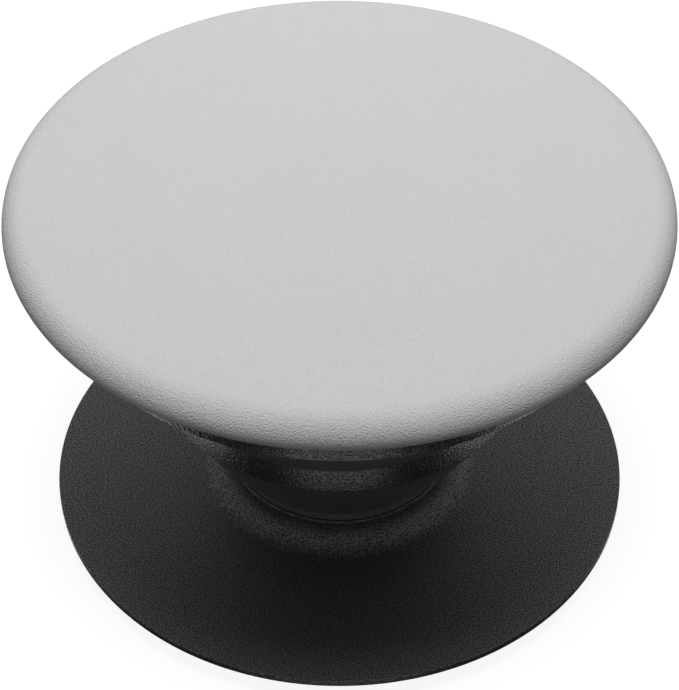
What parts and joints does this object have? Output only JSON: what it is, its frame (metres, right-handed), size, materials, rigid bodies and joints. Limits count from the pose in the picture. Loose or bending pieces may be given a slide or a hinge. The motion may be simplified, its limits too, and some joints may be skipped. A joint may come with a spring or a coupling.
{
  "type": "collapsible phone grip",
  "caption": "Collapsible phone grip: round top disc on a folding bellows over a flared round base, with a quarter-turn lock under the disc and an adhesive pad below.",
  "frame": {"origin": "centre of the adhesive face, where the grip rests on a phone", "axes": "+Z along the grip's axis from the adhesive face to the top disc; the wings of the lock plug lie along X at rest"},
  "size_m": [0.0397, 0.0396, 0.0254],
  "materials": {
    "grey_plastic": "light grey moulded plastic with a fine grain",
    "black_plastic": "black moulded plastic with a fine grain",
    "black_elastomer": "soft black elastomer, grained on the rings and smooth on the folds",
    "adhesive": "black adhesive foam"
  },
  "bodies": {
    "base": {"base_disc": "black_plastic", "adhesive_pad": "adhesive", "bellows": "black_elastomer"},
    "carrier": {"lock_plate": "black_plastic"},
    "top": {"top_disc": "grey_plastic", "lock_plug": "black_plastic"}
  },
  "joints": [
    {"name": "collapse", "type": "slide", "parent": "base", "child": "carrier", "axis": [0, 0, 1], "range_m": [-0.0176, 0], "deforming": ["bellows"]},
    {"name": "top_twist", "type": "hinge", "parent": "carrier", "child": "top", "pos_m": [0, 0, 0.0227], "axis": [0, 0, 1], "range_deg": [-90, 90]}
  ]
}
